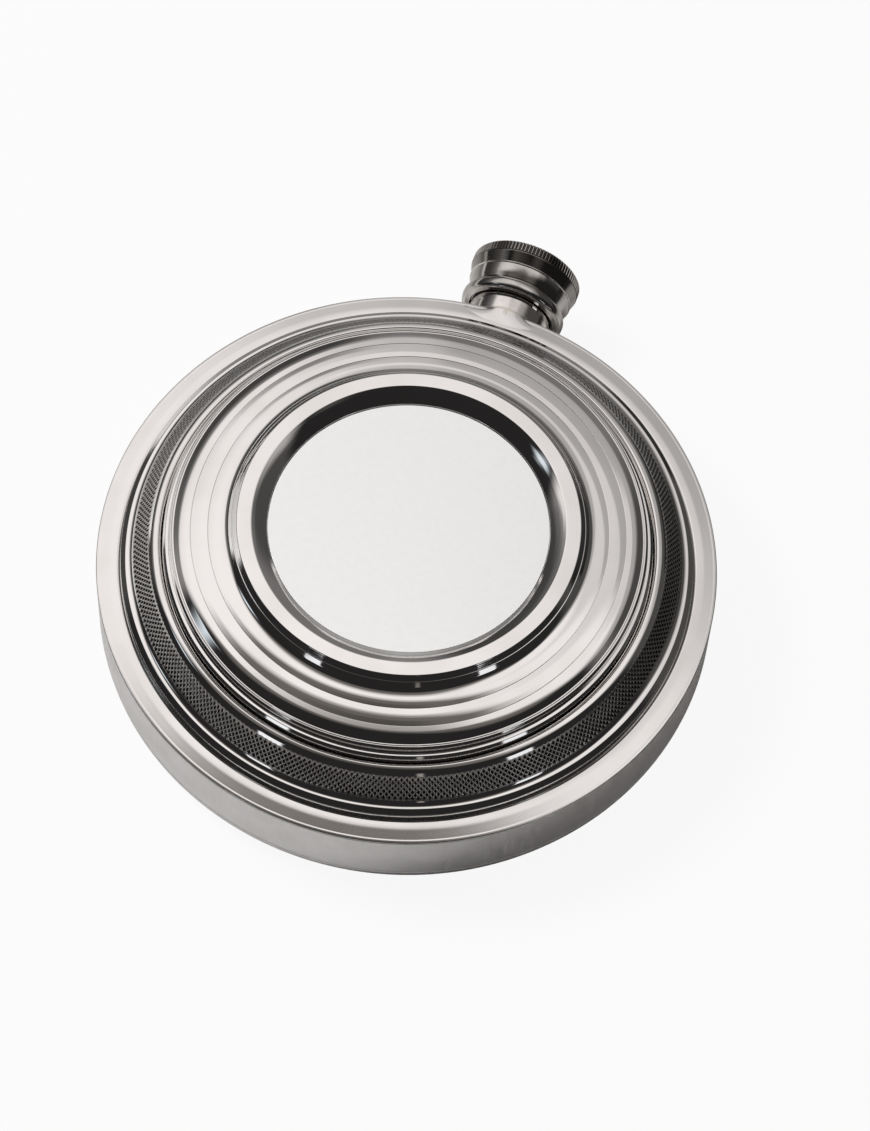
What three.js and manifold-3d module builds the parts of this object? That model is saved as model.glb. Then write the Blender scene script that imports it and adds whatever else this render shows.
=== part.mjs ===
// A round pewter hip flask: a stepped front, a side band, a plain back and a neck with a screw cap.
// Millimetres, +Z out of the front, the neck along +Y. The origin is the centre of the flat back.

import * as THREE from 'three';
import { mergeVertices } from 'three/addons/utils/BufferGeometryUtils.js';
import Module from 'manifold-3d';

const wasm = await Module();
wasm.setup();

// Body of the flask
const flaskDiameter = 105;
const bandHeight = 11.5;
const bandThickness = 1.5;
const sheetThickness = 1.4;
const backDepth = 5.5;
const backFlatDiameter = 88;
const solderLeg = 1.0;
const registerLipHeight = 0.7;
const registerLipWidth = 1.0;
const edgeHeight = 0.25;

// Steps of the front, from the rim inwards: each has a run towards the axis and a rise or a drop
const rimRun = 3.0;
const rimRise = 0.53;
const rimRollRun = 1.0;
const rimFootRun = 1.15;
const rimFootDrop = 0.33;
const firstRiserRun = 0.68;
const firstRiserRise = 2.16;
const firstLedgeRun = 0.79;
const firstLedgeRise = 0.1;
const knurledConeRun = 3.4;
const knurledConeRise = 3.79;
const rollRun = 1.3;
const rollRise = 0.78;
const rollFootRun = 1.1;
const rollFootDrop = 1.13;
const secondRiserRun = 0.2;
const secondRiserRise = 2.23;
const secondLedgeRun = 0.9;
const secondLedgeRise = 0.05;
const thirdRiserRun = 0.22;
const thirdRiserRise = 1.8;
const beadRun = 0.52;
const beadRise = 0.02;
const shoulderRun = 1.4;
const shoulderRise = 0.5;
const wideLedgeRun = 7.5;
const wideLedgeRise = 1.47;
const ringRiserRun = 1.7;
const ringRiserRise = 1.65;
const ringWidth = 2.4;
const recessRun = 2.65;
const recessDepth = 1.87;

// Disc in the recess
const discThickness = 1.0;
const discEdgeRound = 0.25;

// Neck
const boreDiameter = 6.4;
const neckWall = 2.4;
const neckDiameter = 14.9;
const collarHeight = 4.1;
const footDepth = 0.3;
const mouthHeight = 6.0;
const spigotWall = 0.6;
const filletHeight = 1.7;
const filletLip = 0.25;
const filletFlare = 0.5;
const filletReach = 1.6;

// Thread on the neck and in the cap
const threadPitch = 2.0;
const threadDepth = 0.8;
const threadRootWidth = 1.0;
const threadCrestWidth = 0.4;
const threadLeadIn = 0.9;

// Cap
const capOverlap = 0.5;
const sleeveWall = 0.9;
const capWaistWall = 1.1;
const capTopWall = 1.3;
const capFlangeWidth = 2.2;
const capFlareRun = 0.75;
const capCrown = 0.3;
const capChamfer = 0.4;
const beadWidth = 1.6;
const beadHeight = 2.8;
const beadBulge = 0.35;
const knurledEdgeHeight = 2.1;
const capShoulderHeight = 2.3;
const sealThickness = 1.6;

// Clearances
const solderGap = 0.1;
const runningGap = 0.3;
const cutGap = 0.3;

// Fineness of the round pieces
const bodySegments = 72;
const neckSegments = 48;
const arcDivisions = 5;
const threadStepsPerTurn = 32;
const threadEmbed = 0.2;
const threadFadeSteps = 4;
const threadFadeStart = 0.1;

// Places that follow from the sizes above
const flaskRadius = flaskDiameter / 2;
const bandInnerRadius = flaskRadius - bandThickness;
const rimHeight = backDepth + bandHeight;
const skinOffset = sheetThickness * Math.SQRT1_2;
const lipOuterRadius = bandInnerRadius - solderGap;
const lipInnerRadius = lipOuterRadius - registerLipWidth;

const boreRadius = boreDiameter / 2;
const neckRadius = neckDiameter / 2;
// The top of the neck is level with the crest of the rim
const neckAxisHeight = rimHeight + rimRise - neckRadius;
const spigotRadius = boreRadius + spigotWall;
const threadCoreRadius = boreRadius + neckWall;
const threadCrestRadius = threadCoreRadius + threadDepth;
const collarTop = flaskRadius + collarHeight;
const mouthTop = collarTop + mouthHeight;
const neckThreadStart = collarTop + threadLeadIn;
const neckThreadTurns = (mouthHeight - 2 * threadLeadIn) / threadPitch;

const sleeveRootRadius = threadCrestRadius + runningGap;
const sleeveCrestRadius = threadCoreRadius + runningGap;
const sleeveOuterRadius = sleeveRootRadius + sleeveWall;
const capCavityRadius = sleeveOuterRadius + solderGap;
const capMouthRadius = neckRadius + runningGap;
const capBottom = collarTop - capOverlap;
const sleeveBottom = collarTop + runningGap;
const sealBottom = mouthTop + runningGap;
const sealTop = sealBottom + sealThickness;
const sleeveTop = sealBottom - solderGap;
const sleeveThreadStart = neckThreadStart + threadPitch / 2;
const sleeveThreadTurns = (sleeveTop - threadRootWidth / 2 - sleeveThreadStart) / threadPitch;
const capCeiling = sealTop + solderGap;
const capTop = capCeiling + capTopWall;

// Turns a closed profile of [radius, height] points about the Y axis, faces outwards
function turned(profile, segments) {
  const points = profile.map(([radius, height]) => new THREE.Vector2(radius, height));
  if (THREE.ShapeUtils.area(points) < 0) {
    points.reverse();
  }
  const first = points[0];
  const onAxis = first.x === 0 && points[points.length - 1].x === 0;
  if (!onAxis) {
    points.push(first.clone());
  }
  return new THREE.LatheGeometry(points, segments);
}

// The same about the flask's own axis, which is Z
function turnedAboutFlask(profile) {
  return turned(profile, bodySegments).rotateX(Math.PI / 2);
}

function curvePoints(start, control, end) {
  const curve = new THREE.QuadraticBezierCurve(
    new THREE.Vector2(...start),
    new THREE.Vector2(...control),
    new THREE.Vector2(...end),
  );
  return curve.getPoints(arcDivisions).map((point) => [point.x, point.y]);
}

// Joining and cutting
function toSolid(geometry) {
  const bare = geometry.clone();
  bare.deleteAttribute('normal');
  bare.deleteAttribute('uv');
  const merged = mergeVertices(bare, 1e-4);
  const index = merged.index.array;
  const triangles = [];
  for (let i = 0; i < index.length; i += 3) {
    const [a, b, c] = [index[i], index[i + 1], index[i + 2]];
    if (a !== b && b !== c && c !== a) {
      triangles.push(a, b, c);
    }
  }
  return new wasm.Manifold(new wasm.Mesh({
    numProp: 3,
    vertProperties: new Float32Array(merged.attributes.position.array),
    triVerts: new Uint32Array(triangles),
  }));
}

function toGeometry(solid) {
  const mesh = solid.getMesh();
  const geometry = new THREE.BufferGeometry();
  geometry.setAttribute('position', new THREE.BufferAttribute(mesh.vertProperties, 3));
  geometry.setIndex(new THREE.BufferAttribute(mesh.triVerts, 1));
  return geometry;
}

// Outline of the front, rim edge first, as [radius, height] corners
function frontCorners() {
  const steps = [
    [rimRun, rimRise],
    [rimFootRun, -rimFootDrop],
    [firstRiserRun, firstRiserRise],
    [firstLedgeRun, firstLedgeRise],
    [knurledConeRun, knurledConeRise],
    [rollRun, rollRise],
    [rollFootRun, -rollFootDrop],
    [secondRiserRun, secondRiserRise],
    [secondLedgeRun, secondLedgeRise],
    [thirdRiserRun, thirdRiserRise],
    [beadRun, beadRise],
    [shoulderRun, shoulderRise],
    [wideLedgeRun, wideLedgeRise],
    [ringRiserRun, ringRiserRise],
  ];
  let radius = flaskRadius;
  let height = rimHeight;
  const corners = [[radius, height]];
  for (const [run, rise] of steps) {
    radius -= run;
    height += rise;
    corners.push([radius, height]);
  }
  return corners;
}

// Places of the roll's corners in that outline
const faceCorners = frontCorners();
const coneTopIndex = 5;
const rollCrestIndex = coneTopIndex + 1;
const rollFootIndex = coneTopIndex + 2;
const ringOuter = faceCorners[faceCorners.length - 1];
const ringInnerRadius = ringOuter[0] - ringWidth;
const pocketRadius = ringInnerRadius - recessRun;
const discTop = ringOuter[1] - recessDepth;
const pocketFloor = discTop - discThickness - solderGap;

// The rim and the roll above the knurled cone are round, the other stretches are straight
function frontOutline() {
  const [edge, rimCrest] = faceCorners;
  const rimRound = curvePoints(edge, [edge[0] - rimRollRun, rimCrest[1]], rimCrest);
  const rollCrest = faceCorners[rollCrestIndex];
  const rollFoot = faceCorners[rollFootIndex];
  const rollRound = curvePoints(rollCrest, [rollFoot[0], rollCrest[1]], rollFoot);
  return [
    ...rimRound,
    ...faceCorners.slice(2, rollCrestIndex),
    ...rollRound,
    ...faceCorners.slice(rollFootIndex + 1),
  ];
}

// Inner skin: the outline's corners, without the two crests, moved in and down by the sheet's thickness
function frontInnerSkin() {
  const inward = faceCorners.filter((corner, index) => index > 1 && index !== rollCrestIndex);
  const moved = inward.map(([radius, height]) => [radius - skinOffset, height - skinOffset]);
  const wallRadius = pocketRadius + sheetThickness;
  const slopeFoot = discTop - sheetThickness / 2;
  return [
    ...moved,
    [ringInnerRadius + sheetThickness / 2, ringOuter[1] - skinOffset],
    [wallRadius, slopeFoot],
    [wallRadius, pocketFloor - sheetThickness],
    [0, pocketFloor - sheetThickness],
  ];
}

function frontShell() {
  const underside = rimHeight - edgeHeight;
  const lipFoot = underside - registerLipHeight;
  return turnedAboutFlask([
    [0, pocketFloor],
    [pocketRadius, pocketFloor],
    [pocketRadius, discTop],
    [ringInnerRadius, ringOuter[1]],
    ...frontOutline().reverse(),
    [flaskRadius, underside],
    [lipOuterRadius, underside],
    [lipOuterRadius, lipFoot],
    [lipInnerRadius, lipFoot],
    [lipInnerRadius, underside],
    ...frontInnerSkin(),
  ]);
}

function centreDisc() {
  const radius = pocketRadius - solderGap;
  const foot = pocketFloor + solderGap;
  return turnedAboutFlask([
    [0, foot],
    [radius, foot],
    [radius, discTop - discEdgeRound],
    [radius - discEdgeRound, discTop],
    [0, discTop],
  ]);
}

// Outline of the back from the band's edge to the flat
function backOutline() {
  const flatRadius = backFlatDiameter / 2;
  return curvePoints([flaskRadius, backDepth], [flaskRadius, 0], [flatRadius, 0]);
}

function backShell() {
  const lipTop = backDepth + registerLipHeight;
  const moveIn = ([radius, height]) => [radius - sheetThickness, height + sheetThickness];
  const inner = backOutline().slice(1).map(moveIn);
  return turnedAboutFlask([
    [0, 0],
    ...backOutline().reverse(),
    [lipOuterRadius, backDepth],
    [lipOuterRadius, lipTop],
    [lipInnerRadius, lipTop],
    ...inner,
    [0, sheetThickness],
  ]);
}

function seamSolder(lipEnd, side) {
  const outer = bandInnerRadius - solderGap;
  const start = lipEnd - side * solderGap;
  return turnedAboutFlask([
    [outer, start],
    [outer, start - side * solderLeg],
    [outer - solderLeg, start],
  ]);
}

function sideBand() {
  const low = backDepth + solderGap;
  const high = rimHeight - edgeHeight - solderGap;
  const ring = turnedAboutFlask([
    [bandInnerRadius, low],
    [flaskRadius, low],
    [flaskRadius, high],
    [bandInnerRadius, high],
  ]);
  const hole = new THREE.CylinderGeometry(
    spigotRadius + cutGap,
    spigotRadius + cutGap,
    flaskRadius,
    neckSegments,
  );
  hole.translate(0, flaskRadius, neckAxisHeight);
  return toGeometry(toSolid(ring).subtract(toSolid(hole)));
}

// The whole flask grown by a gap, as a cutter for what is soldered onto it
function flaskCutter(gap) {
  const front = frontOutline().map(([radius, height]) => [radius + gap, height + gap]);
  const back = backOutline().map(([radius, height]) => [radius + gap, height - gap]);
  const cutter = turnedAboutFlask([
    ...front.reverse(),
    ...back,
    [0, -gap],
    [0, ringOuter[1] + gap],
  ].reverse());
  return toSolid(cutter.translate(0, 0, -neckAxisHeight));
}

// A thread ridge of trapezoid section, run round the Y axis and faded out at both ends
function threadRidge(rootRadius, crestRadius, startHeight, turns) {
  const steps = Math.floor(turns * threadStepsPerTurn);
  const positions = [];
  const index = [];
  for (let step = 0; step <= steps; step += 1) {
    const angle = (step / threadStepsPerTurn) * 2 * Math.PI;
    const height = startHeight + (step / threadStepsPerTurn) * threadPitch;
    const fromEnd = Math.min(step, steps - step) / threadFadeSteps;
    const fade = Math.min(1, fromEnd + threadFadeStart);
    const tip = rootRadius + (crestRadius - rootRadius) * fade;
    const section = [
      [rootRadius, -threadRootWidth / 2],
      [tip, -threadCrestWidth / 2],
      [tip, threadCrestWidth / 2],
      [rootRadius, threadRootWidth / 2],
    ];
    for (const [radius, offset] of section) {
      positions.push(radius * Math.sin(angle), height + offset, radius * Math.cos(angle));
    }
  }
  for (let step = 0; step < steps; step += 1) {
    for (let corner = 0; corner < 4; corner += 1) {
      const a = step * 4 + corner;
      const b = step * 4 + ((corner + 1) % 4);
      index.push(a, a + 4, b, b, a + 4, b + 4);
    }
  }
  const last = steps * 4;
  index.push(0, 1, 2, 0, 2, 3, last, last + 2, last + 1, last, last + 3, last + 2);
  if (crestRadius < rootRadius) {
    index.reverse();
  }
  const geometry = new THREE.BufferGeometry();
  geometry.setAttribute('position', new THREE.Float32BufferAttribute(positions, 3));
  geometry.setIndex(index);
  return geometry;
}

function neckCollar() {
  const foot = flaskRadius - footDepth;
  const tube = turned([
    [boreRadius, foot],
    [neckRadius, foot],
    [neckRadius, collarTop],
    [threadCoreRadius, collarTop],
    [threadCoreRadius, mouthTop],
    [boreRadius, mouthTop],
  ], neckSegments);
  const spigot = turned([
    [boreRadius, bandInnerRadius],
    [spigotRadius, bandInnerRadius],
    [spigotRadius, collarTop],
    [boreRadius, collarTop],
  ], neckSegments);
  const ridgeRoot = threadCoreRadius - threadEmbed;
  const ridge = threadRidge(ridgeRoot, threadCrestRadius, neckThreadStart, neckThreadTurns);
  const saddled = toSolid(tube).subtract(flaskCutter(cutGap));
  return toGeometry(saddled.add(toSolid(spigot)).add(toSolid(ridge)));
}

function neckSolderFillet() {
  const inner = neckRadius + solderGap;
  const low = flaskRadius - filletReach;
  const high = flaskRadius + filletHeight;
  const foot = flaskRadius - footDepth - cutGap;
  const wide = neckRadius + filletFlare;
  const rimReach = neckRadius + cutGap;
  const lip = inner + filletLip;
  const flare = curvePoints([lip, high], [lip, flaskRadius], [wide, flaskRadius]);
  const blank = turned([
    [inner, high],
    ...flare,
    [wide, foot],
    [rimReach, low],
    [spigotRadius + cutGap, low],
    [spigotRadius + cutGap, foot],
    [inner, foot],
  ], neckSegments);
  return toGeometry(toSolid(blank).subtract(flaskCutter(cutGap)));
}

function capOutline() {
  const beadMiddle = [capMouthRadius + beadWidth + beadBulge, capBottom + beadHeight / 2];
  const waist = capCavityRadius + capWaistWall;
  const flange = capCavityRadius + capFlangeWidth;
  const beadTop = capBottom + beadHeight;
  const edgeLow = capTop - knurledEdgeHeight;
  const shoulder = edgeLow - capShoulderHeight;
  return [
    ...curvePoints([capMouthRadius + beadWidth / 2, capBottom], beadMiddle, [waist, beadTop]),
    [waist, shoulder],
    [flange - capFlareRun, shoulder],
    [flange, edgeLow],
    [flange, capTop - capChamfer],
    [flange - capChamfer, capTop],
  ];
}

function capShell() {
  return turned([
    [0, capCeiling],
    [capCavityRadius, capCeiling],
    [capCavityRadius, sleeveBottom],
    [capMouthRadius, sleeveBottom - solderGap],
    [capMouthRadius, capBottom],
    ...capOutline(),
    [0, capTop + capCrown],
  ], neckSegments);
}

function capThreadSleeve() {
  const tube = turned([
    [sleeveRootRadius, sleeveBottom],
    [sleeveOuterRadius, sleeveBottom],
    [sleeveOuterRadius, sleeveTop],
    [sleeveRootRadius, sleeveTop],
  ], neckSegments);
  const ridgeRoot = sleeveRootRadius + threadEmbed;
  const ridge = threadRidge(ridgeRoot, sleeveCrestRadius, sleeveThreadStart, sleeveThreadTurns);
  return toGeometry(toSolid(tube).add(toSolid(ridge)));
}

function capSeal() {
  return turned([
    [0, sealBottom],
    [sleeveOuterRadius, sealBottom],
    [sleeveOuterRadius, sealTop],
    [0, sealTop],
  ], neckSegments);
}

const polishedPewter = () => new THREE.MeshStandardMaterial({ color: 0xb4aeaa, roughness: 0.12, metalness: 1 });
const satinPewter = () => new THREE.MeshStandardMaterial({ color: 0xaaa5a1, roughness: 0.38, metalness: 1 });
const solderMetal = () => new THREE.MeshStandardMaterial({ color: 0xb5b0a6, roughness: 0.45, metalness: 1 });
const paleDisc = () => new THREE.MeshStandardMaterial({ color: 0xe6e6e3, roughness: 0.5, metalness: 0.2 });
const sealRubber = () => new THREE.MeshStandardMaterial({ color: 0x3a3733, roughness: 0.8, metalness: 0 });

function piece(name, geometry, material) {
  const mesh = new THREE.Mesh(geometry, material);
  mesh.name = name;
  return mesh;
}

const frontLipFoot = rimHeight - edgeHeight - registerLipHeight;
const backLipTop = backDepth + registerLipHeight;

const neckGroup = new THREE.Group();
neckGroup.position.z = neckAxisHeight;
neckGroup.add(
  piece('neck_collar', neckCollar(), polishedPewter()),
  piece('neck_solder_fillet', neckSolderFillet(), solderMetal()),
  piece('cap_shell', capShell(), polishedPewter()),
  piece('cap_thread_sleeve', capThreadSleeve(), satinPewter()),
  piece('cap_seal', capSeal(), sealRubber()),
);

const flask = new THREE.Group();
flask.add(
  piece('front_shell', frontShell(), polishedPewter()),
  piece('centre_disc', centreDisc(), paleDisc()),
  piece('side_band', sideBand(), satinPewter()),
  piece('back_shell', backShell(), satinPewter()),
  piece('front_seam_solder', seamSolder(frontLipFoot, 1), solderMetal()),
  piece('back_seam_solder', seamSolder(backLipTop, -1), solderMetal()),
  neckGroup,
);

export default flask;
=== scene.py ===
# %% [markdown]
# # A round pewter hip flask, dressed around its CAD frame
#
# The flask is spun and turned metal: a stepped front, a plain side band, a flat back and a short
# neck with a screw cap. The CAD frame gives where each piece is and how the cap moves. This lesson
# remakes the pieces that the eye sees with finer steps and gives every surface its finish.

import math

import bmesh
import bpy
from mathutils import Matrix, Quaternion, Vector


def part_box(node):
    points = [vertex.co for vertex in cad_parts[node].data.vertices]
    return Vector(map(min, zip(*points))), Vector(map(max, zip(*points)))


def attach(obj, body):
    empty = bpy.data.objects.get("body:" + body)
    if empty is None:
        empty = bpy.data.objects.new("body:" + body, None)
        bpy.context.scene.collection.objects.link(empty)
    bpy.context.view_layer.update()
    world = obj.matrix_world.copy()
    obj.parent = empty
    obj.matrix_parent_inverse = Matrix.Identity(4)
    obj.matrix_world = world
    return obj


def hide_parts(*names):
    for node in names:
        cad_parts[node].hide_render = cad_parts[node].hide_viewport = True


MM = 0.001

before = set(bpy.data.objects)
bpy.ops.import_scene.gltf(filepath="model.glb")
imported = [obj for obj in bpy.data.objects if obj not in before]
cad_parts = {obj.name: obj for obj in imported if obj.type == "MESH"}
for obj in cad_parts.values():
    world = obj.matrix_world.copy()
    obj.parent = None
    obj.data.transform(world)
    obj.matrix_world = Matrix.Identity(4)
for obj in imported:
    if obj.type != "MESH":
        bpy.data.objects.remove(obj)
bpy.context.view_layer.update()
print("frame nodes:", sorted(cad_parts))

# %% [markdown]
# ## The camera
#
# The photograph looks down on the flask from in front, a little to the right, with a long lens that
# is turned slightly about its own axis. Azimuth, elevation, roll and distance are easier to read
# than a rotation matrix, so the camera is placed on a sphere around the point that it looks at.

# %% Place the camera
CAMERA_AZIMUTH = math.radians(15.70)
CAMERA_ELEVATION = math.radians(61.63)
CAMERA_ROLL = math.radians(3.71)
CAMERA_DISTANCE = 676.05 * MM
CAMERA_AIM = Vector((4.76, 0.65, 17.0)) * MM
LENS_LENGTH = 127.32
SENSOR_SIZE = 36.0


def toward(azimuth, elevation):
    """Unit vector to a point of the sky: azimuth 0 is the near side, positive turns to +X."""
    return Vector((
        math.sin(azimuth) * math.cos(elevation),
        -math.cos(azimuth) * math.cos(elevation),
        math.sin(elevation),
    ))


camera_data = bpy.data.cameras.new("photo_camera")
camera_data.lens = LENS_LENGTH
camera_data.sensor_width = SENSOR_SIZE
camera = bpy.data.objects.new("photo_camera", camera_data)
bpy.context.scene.collection.objects.link(camera)
to_camera = toward(CAMERA_AZIMUTH, CAMERA_ELEVATION)
camera.location = CAMERA_AIM + to_camera * CAMERA_DISTANCE
looking = (-to_camera).to_track_quat("-Z", "Y") @ Quaternion((0, 0, 1), CAMERA_ROLL)
camera.rotation_euler = looking.to_euler()
bpy.context.scene.camera = camera
bpy.context.scene.view_settings.view_transform = "Standard"
print("camera at", [round(c / MM, 1) for c in camera.location], "mm")

# %% [markdown]
# ## Small helpers for node trees
#
# Every finish and the studio itself are made of shader nodes. Two helpers keep the node code short:
# one adds a node and fills its sockets, the other does one step of arithmetic.

# %% Node helpers
def add_node(tree, kind, inputs=None, **settings):
    """Add a node, set its options, and give each input a value or a link."""
    node = tree.nodes.new(kind)
    for name, value in settings.items():
        setattr(node, name, value)
    for key, value in (inputs or {}).items():
        if isinstance(value, bpy.types.NodeSocket):
            tree.links.new(value, node.inputs[key])
        else:
            node.inputs[key].default_value = value
    return node


def calc(tree, operation, *values):
    """One arithmetic step on sockets or numbers."""
    inputs = dict(enumerate(values))
    return add_node(tree, "ShaderNodeMath", inputs, operation=operation).outputs[0]


def remap(tree, value, low, high, start=0.0, end=1.0):
    """A soft ramp from start to end while value goes from low to high."""
    inputs = {"Value": value, "From Min": low, "From Max": high, "To Min": start, "To Max": end}
    node = add_node(tree, "ShaderNodeMapRange", inputs, interpolation_type="SMOOTHSTEP")
    return node.outputs["Result"]


def mix_colour(tree, share, first, second):
    """Mix two colours, or a colour and a link."""
    node = add_node(tree, "ShaderNodeMix", {"Factor": share}, data_type="RGBA")
    for socket, value in ((node.inputs[6], first), (node.inputs[7], second)):
        if isinstance(value, bpy.types.NodeSocket):
            tree.links.new(value, socket)
        else:
            socket.default_value = (*value, 1.0)
    return node.outputs[2]


print("node helpers ready")

# %% [markdown]
# ## The studio
#
# Polished metal shows the room more than itself. In the photograph the flask lies under a large
# pale tent that is open on the camera's side: flat rings mirror the tent's far side and turn white,
# steep near sides mirror the dark opening and turn black, and two small windows leave short
# streaks. A world made of a few soft cards gives that room from every viewing angle.

# %% Studio directions
SKY_NEAR = toward(CAMERA_AZIMUTH, 0.0)
SKY_RIGHT = toward(CAMERA_AZIMUTH + math.pi / 2, 0.0)

world = bpy.data.worlds.new("studio")
bpy.context.scene.world = world
world.use_nodes = True
sky = world.node_tree
sky.nodes.clear()
sky_direction = add_node(sky, "ShaderNodeTexCoord").outputs["Generated"]


def along(direction):
    """How far each ray of the sky points along a direction, from -1 to 1."""
    inputs = {0: sky_direction, 1: direction}
    return add_node(sky, "ShaderNodeVectorMath", inputs, operation="DOT_PRODUCT").outputs["Value"]


sky_near = along(SKY_NEAR)
sky_right = along(SKY_RIGHT)
sky_up = along(Vector((0, 0, 1)))
print("the tent opens towards", [round(part, 2) for part in SKY_NEAR])

# %% [markdown]
# Each wall of the tent is a ramp of brightness from the floor to the top, read by how steeply a ray
# points up. The left wall is lit, the wall behind fades towards the floor and the right one is dim.

# %% Walls of the tent
TENT_WARMTH = (1.0, 0.965, 0.95)
LEFT_WALL = (
    (0.0, 0.05), (0.26, 0.06), (0.44, 0.15), (0.53, 0.28),
    (0.60, 0.78), (0.66, 0.88), (0.86, 0.97),
)
FAR_WALL = (
    (0.0, 0.20), (0.30, 0.28), (0.46, 0.55), (0.68, 0.58),
    (0.71, 0.79), (0.85, 0.87), (0.885, 0.97),
)
RIGHT_WALL = ((0.0, 0.18), (0.31, 0.18), (0.42, 0.40), (0.69, 0.44), (0.72, 0.68), (0.88, 0.72))
RIGHT_SHADE = (0.07, 0.067, 0.065)
RIGHT_FRONT = (0.92, 0.89, 0.875)
WALL_LEAN = -0.2
LEFT_EDGE = (-0.24, -0.04)
RIGHT_EDGE = (-0.005, 0.075)
RIGHT_FRONT_EDGE = (-0.40, -0.26)
RIGHT_HIGH = (0.62, 0.80)
SHADE_TOP = (0.42, 0.60)
SHADE_EDGE = (0.50, 0.74)

right_only = calc(sky, "MAXIMUM", sky_right, 0.0)
wall_height = calc(sky, "MULTIPLY_ADD", right_only, WALL_LEAN, sky_up)


def wall(stops):
    """A ramp of brightness up one wall of the tent."""
    node = add_node(sky, "ShaderNodeValToRGB", {"Fac": wall_height})
    ramp = node.color_ramp
    for height, _ in stops[1:-1]:
        ramp.elements.new(height)
    ramp.elements[-1].position = stops[-1][0]
    for element, (_, light) in zip(ramp.elements, stops):
        element.color = (*(light * part for part in TENT_WARMTH), 1.0)
    return node.outputs["Color"]


left_share = remap(sky, sky_right, *LEFT_EDGE)
left_and_far = mix_colour(sky, left_share, wall(LEFT_WALL), wall(FAR_WALL))
right_wall = wall(RIGHT_WALL)
right_front_share = remap(sky, sky_near, *RIGHT_FRONT_EDGE)
right_side = mix_colour(sky, right_front_share, right_wall, RIGHT_FRONT)
high_up = remap(sky, wall_height, *RIGHT_HIGH)
right_side = mix_colour(sky, high_up, right_wall, right_side)
low_down = remap(sky, wall_height, *SHADE_TOP, 1.0, 0.0)
shaded = calc(sky, "MULTIPLY", low_down, remap(sky, sky_right, *SHADE_EDGE))
right_side = mix_colour(sky, shaded, right_side, RIGHT_SHADE)
right_share = remap(sky, sky_right, *RIGHT_EDGE)
tent_walls = mix_colour(sky, right_share, left_and_far, right_side)
print("stops of the walls:", len(LEFT_WALL), len(FAR_WALL), len(RIGHT_WALL))

# %% [markdown]
# The tent's front edge runs overhead, a little nearer to the camera on the right. In front of it
# there is a grey-brown strip, then the dark room, and a low pale sheet where the room meets the
# floor, so that the flat rings aren't black when they are seen from behind.

# %% Open front of the tent
TENT_BROWN = (0.15, 0.138, 0.127)
TENT_DARK = (0.020, 0.019, 0.019)
FRONT_SHEET = (0.46, 0.44, 0.425)
EDGE_LEAN = -0.06
EDGE_BEND = -0.7
BEND_FROM = 0.05
BEND_LENGTH = 0.2
TENT_EDGE = (-0.25, -0.07)
OVERHEAD = (0.80, 0.92)
STRIP_EDGE = (-0.02, 0.16)
LOW_SHEET_TOP = (0.11, 0.17)
LOW_SHEET_EDGE = (0.35, 0.60)

past_bend = calc(sky, "MAXIMUM", calc(sky, "SUBTRACT", sky_right, BEND_FROM), 0.0)
past_bend = calc(sky, "MINIMUM", past_bend, BEND_LENGTH)
leaned = calc(sky, "MULTIPLY_ADD", sky_right, EDGE_LEAN, sky_near)
frontward = calc(sky, "MULTIPLY_ADD", past_bend, EDGE_BEND, leaned)
overhead = remap(sky, sky_up, *OVERHEAD)
strip = calc(sky, "MULTIPLY", remap(sky, frontward, *STRIP_EDGE, 1.0, 0.0), overhead)
room = mix_colour(sky, strip, TENT_DARK, TENT_BROWN)
low_in_front = remap(sky, sky_up, *LOW_SHEET_TOP, 1.0, 0.0)
low_sheet = calc(sky, "MULTIPLY", low_in_front, remap(sky, sky_near, *LOW_SHEET_EDGE))
room = mix_colour(sky, low_sheet, room, FRONT_SHEET)
tent = mix_colour(sky, remap(sky, frontward, *TENT_EDGE), tent_walls, room)
print("the tent's edge fades over", TENT_EDGE)

# %% [markdown]
# A window is a small card: the ray is measured on a plane in front of the window's direction, and
# a box on that plane marks where the window is. Two windows are in front, a bluish one is on the
# left, and a thin post stands near the middle.

# %% Windows
FRONT_ONLY = 0.05
FRONT_WINDOW = (0.95, 0.97, 1.0)
SIDE_WINDOW = (0.80, 0.88, 0.94)
POST = (0.30, 0.28, 0.26)


def card(azimuth, elevation, half_width, half_height, soft):
    """Share of a card in the sky, from 0 to 1; degrees, azimuth 0 is the camera's side."""
    turned = CAMERA_AZIMUTH + math.radians(azimuth)
    axis = toward(turned, math.radians(elevation))
    across = toward(turned + math.pi / 2, 0.0)
    up = across.cross(axis)
    ahead = calc(sky, "MAXIMUM", along(axis), FRONT_ONLY)
    share = calc(sky, "GREATER_THAN", along(axis), FRONT_ONLY)
    for side, half in ((across, half_width), (up, half_height)):
        offset = calc(sky, "ABSOLUTE", calc(sky, "DIVIDE", along(side), ahead))
        inside = remap(sky, offset, half - soft, half + soft, 1.0, 0.0)
        share = calc(sky, "MULTIPLY", share, inside)
    return share


# azimuth, elevation, half width, half height, softness of the edge, colour
cards = (
    (-43, 22, 0.07, 0.11, 0.006, FRONT_WINDOW),
    (43, 22, 0.07, 0.11, 0.006, FRONT_WINDOW),
    (-92, 43, 0.07, 0.08, 0.05, SIDE_WINDOW),
    (9, 26, 0.016, 0.10, 0.006, POST),
)
studio = tent
for *shape, colour in cards:
    studio = mix_colour(sky, card(*shape), studio, colour)
print("cards in the sky:", len(cards))

# %% [markdown]
# The photograph's own background is plain white, so rays that come straight from the camera see
# white, and all other rays see the studio.

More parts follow.
